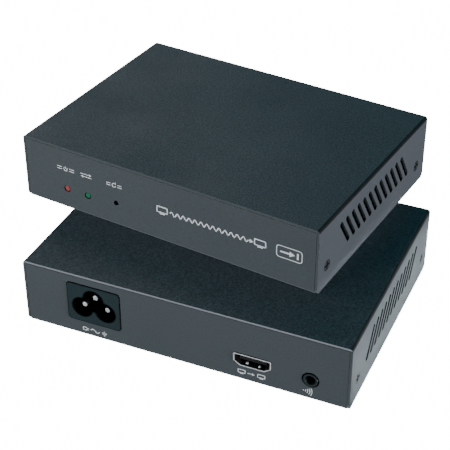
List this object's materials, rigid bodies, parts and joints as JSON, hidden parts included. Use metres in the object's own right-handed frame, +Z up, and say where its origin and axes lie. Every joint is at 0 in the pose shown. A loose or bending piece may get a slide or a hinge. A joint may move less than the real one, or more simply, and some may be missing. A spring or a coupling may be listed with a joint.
{
  "type": "hdmi extender",
  "caption": "Stacked pair of sheet-steel video extender units, each with a mains inlet, a video socket, an infrared jack, lights and side vents.",
  "frame": {"origin": "the middle of the decoder's base, the lower unit of the stack", "axes": "+Z up; -Y out of the decoder's rear panel, the side that the picture shows; +X to the right of it. The encoder lies on the decoder, turned 7.2 degrees clockwise from above, with its front panel towards -Y"},
  "size_m": [0.158, 0.1395, 0.058],
  "materials": {
    "powder_coat": "fine-textured dark grey powder coat on folded steel",
    "black_screw": "black oxide steel",
    "circuit_board": "green solder mask on glass laminate",
    "plated_steel": "zinc plated steel",
    "inlet_plastic": "fine matt black moulding",
    "nickel": "bright nickel plate",
    "black_plastic": "matt black moulding",
    "gold_contacts": "gold flash on copper alloy",
    "jack_plastic": "satin black moulding",
    "red_lens": "tinted diffused epoxy",
    "green_lens": "tinted diffused epoxy",
    "ferrite": "ground grey-black ferrite",
    "winding_tape": "yellow polyester tape over the wire",
    "capacitor_sleeve": "shrunk dark sleeve with a bare top",
    "film_box": "yellow moulded box",
    "choke_coat": "green coated ring core",
    "plain_aluminium": "extruded and cut aluminium"
  },
  "bodies": {
    "decoder": {"decoder_chassis": "powder_coat", "decoder_cover": "powder_coat", "decoder_side_brackets": "powder_coat", "decoder_cover_screws": "black_screw", "decoder_main_board": "circuit_board", "decoder_standoffs": "plated_steel", "decoder_board_screws": "plated_steel", "decoder_power_inlet": "inlet_plastic", "decoder_inlet_pins": "nickel", "decoder_hdmi_shell": "nickel", "decoder_hdmi_tongue": "black_plastic", "decoder_hdmi_contacts": "gold_contacts", "decoder_ir_jack": "jack_plastic", "decoder_jack_contacts": "nickel", "decoder_power_led": "red_lens", "decoder_link_led": "green_lens", "decoder_led_holders": "black_plastic", "decoder_led_leads": "nickel", "decoder_reset_switch": "black_plastic", "decoder_transformer_core": "ferrite", "decoder_transformer_bobbin": "black_plastic", "decoder_transformer_winding": "winding_tape", "decoder_bulk_capacitors": "capacitor_sleeve", "decoder_film_capacitor": "film_box", "decoder_line_choke": "choke_coat", "decoder_fuse": "black_plastic", "decoder_coupling_transformer": "black_plastic", "decoder_chips": "black_plastic", "decoder_heat_sink": "plain_aluminium"},
    "decoder_reset": {"decoder_reset_button": "black_plastic"},
    "encoder": {"encoder_chassis": "powder_coat", "encoder_cover": "powder_coat", "encoder_side_brackets": "powder_coat", "encoder_cover_screws": "black_screw", "encoder_main_board": "circuit_board", "encoder_standoffs": "plated_steel", "encoder_board_screws": "plated_steel", "encoder_power_inlet": "inlet_plastic", "encoder_inlet_pins": "nickel", "encoder_hdmi_shell": "nickel", "encoder_hdmi_tongue": "black_plastic", "encoder_hdmi_contacts": "gold_contacts", "encoder_ir_jack": "jack_plastic", "encoder_jack_contacts": "nickel", "encoder_power_led": "red_lens", "encoder_link_led": "green_lens", "encoder_led_holders": "black_plastic", "encoder_led_leads": "nickel", "encoder_reset_switch": "black_plastic", "encoder_transformer_core": "ferrite", "encoder_transformer_bobbin": "black_plastic", "encoder_transformer_winding": "winding_tape", "encoder_bulk_capacitors": "capacitor_sleeve", "encoder_film_capacitor": "film_box", "encoder_line_choke": "choke_coat", "encoder_fuse": "black_plastic", "encoder_coupling_transformer": "black_plastic", "encoder_chips": "black_plastic", "encoder_heat_sink": "plain_aluminium"},
    "encoder_reset": {"encoder_reset_button": "black_plastic"}
  },
  "joints": [
    {"name": "encoder_lift", "type": "slide", "parent": "decoder", "child": "encoder", "axis": [0, 0, 1], "range_m": [0, 0.08]},
    {"name": "decoder_reset_press", "type": "slide", "parent": "decoder", "child": "decoder_reset", "axis": [0, -1, 0], "range_m": [0, 0.00025], "stiffness_N_per_m": 200},
    {"name": "encoder_reset_press", "type": "slide", "parent": "encoder", "child": "encoder_reset", "axis": [0.1253, 0.9921, 0], "range_m": [0, 0.00025], "stiffness_N_per_m": 200}
  ]
}
